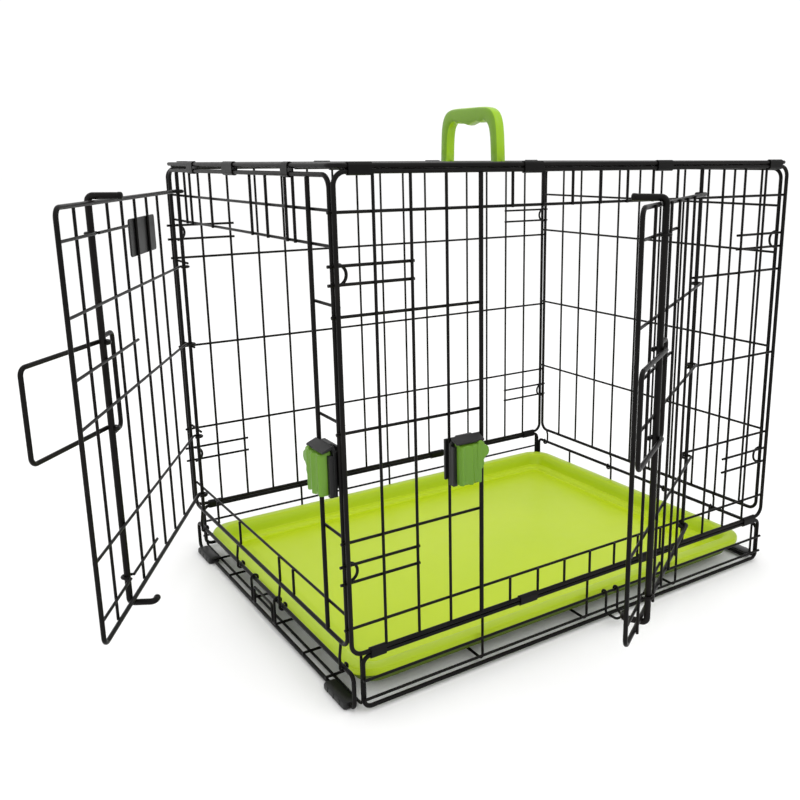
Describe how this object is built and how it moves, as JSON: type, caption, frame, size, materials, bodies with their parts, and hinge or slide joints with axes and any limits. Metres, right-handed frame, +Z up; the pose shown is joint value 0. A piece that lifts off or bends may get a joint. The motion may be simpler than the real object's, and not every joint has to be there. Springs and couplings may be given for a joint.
{
  "type": "wire dog crate",
  "caption": "Folding wire dog crate with an end door, a side door, hook latches with sliding catches, a slide-out plastic tray and a carry handle.",
  "frame": {"origin": "bottom centre of the box around the crate with both doors open, on the floor", "axes": "+X along the crate's long side away from the end door, +Y towards the back panel (the side door is at -Y), +Z up"},
  "size_m": [0.8593, 0.6731, 0.591],
  "materials": {
    "wire": "satin black coating",
    "sheet_steel": "satin black coating",
    "black_plastic": "matte",
    "green_plastic": "semi-gloss",
    "handle_plastic": "semi-gloss",
    "lime_plastic": "semi-gloss"
  },
  "bodies": {
    "crate": {"base_grid": "wire", "foot_front_left": "black_plastic", "foot_back_left": "black_plastic", "foot_front_right": "black_plastic", "foot_back_right": "black_plastic", "front_panel": "wire", "back_panel": "wire", "left_end_panel": "wire", "left_locking_loops": "wire", "top_panel": "wire", "front_base_sleeves": "sheet_steel", "front_top_sleeves": "sheet_steel", "back_base_sleeves": "sheet_steel", "back_top_sleeves": "sheet_steel", "end_top_clips": "sheet_steel", "end_latch_plate": "black_plastic", "front_latch_plate": "black_plastic", "carry_handle": "handle_plastic"},
    "end_door": {"end_door": "wire", "end_door_plate": "black_plastic"},
    "end_rod": {"end_door_latch_rod": "wire"},
    "end_bail": {"end_door_bail": "wire"},
    "front_door": {"front_door": "wire"},
    "front_rod": {"front_door_latch_rod": "wire"},
    "front_bail": {"front_door_bail": "wire"},
    "end_catch": {"end_latch_catch": "green_plastic"},
    "front_catch": {"front_latch_catch": "green_plastic"},
    "tray": {"tray": "lime_plastic"},
    "front_stop": {"front_tray_stop": "wire"},
    "end_stop": {"end_tray_stop": "wire"},
    "far_end": {"right_end_panel": "wire", "right_locking_loops": "wire"}
  },
  "joints": [
    {"name": "end_door_hinge", "type": "hinge", "parent": "crate", "child": "end_door", "pos_m": [-0.18788, 0.29326, 0.3], "axis": [0, 0, -1], "range_deg": [-30.6, 115]},
    {"name": "end_rod_turn", "type": "hinge", "parent": "end_door", "child": "end_rod", "pos_m": [-0.34365, 0.05079, 0.3], "axis": [0, 0, 1], "range_deg": [0, 50]},
    {"name": "end_bail_swing", "type": "hinge", "parent": "end_door", "child": "end_bail", "pos_m": [-0.34365, 0.05079, 0.317], "axis": [0, 0, -1], "range_deg": [-14, 71]},
    {"name": "front_door_hinge", "type": "hinge", "parent": "crate", "child": "front_door", "pos_m": [0.27022, -0.14094, 0.3], "axis": [0, 0, 1], "range_deg": [-31.8, 135]},
    {"name": "front_rod_turn", "type": "hinge", "parent": "front_door", "child": "front_rod", "pos_m": [0.06931, -0.27804, 0.3], "axis": [0, 0, -1], "range_deg": [0, 50]},
    {"name": "front_bail_swing", "type": "hinge", "parent": "front_door", "child": "front_bail", "pos_m": [0.06931, -0.27804, 0.303], "axis": [0, 0, 1], "range_deg": [0, 85]},
    {"name": "end_catch_slide", "type": "slide", "parent": "crate", "child": "end_catch", "axis": [0, 0, 1], "range_m": [0, 0.014]},
    {"name": "front_catch_slide", "type": "slide", "parent": "crate", "child": "front_catch", "axis": [0, 0, 1], "range_m": [0, 0.014]},
    {"name": "tray_slide", "type": "slide", "parent": "crate", "child": "tray", "axis": [-1, 0, 0], "range_m": [0, 0.42], "deforming": ["end_tray_stop"]},
    {"name": "end_stop_swing", "type": "hinge", "parent": "crate", "child": "end_stop", "pos_m": [-0.18568, 0.08526, 0.041], "axis": [0, 1, 0], "range_deg": [0, 100]},
    {"name": "front_stop_swing", "type": "hinge", "parent": "crate", "child": "front_stop", "pos_m": [0.14702, -0.14469, 0.0365], "axis": [-1, 0, 0], "range_deg": [0, 80]},
    {"name": "far_end_fold", "type": "hinge", "parent": "crate", "child": "far_end", "pos_m": [0.42072, 0.09526, 0.05], "axis": [0, -1, 0], "range_deg": [0, 82]}
  ],
  "couplings": [
    {"joint": "end_stop_swing", "follows": "tray_slide", "rad_per_m": 4}
  ]
}
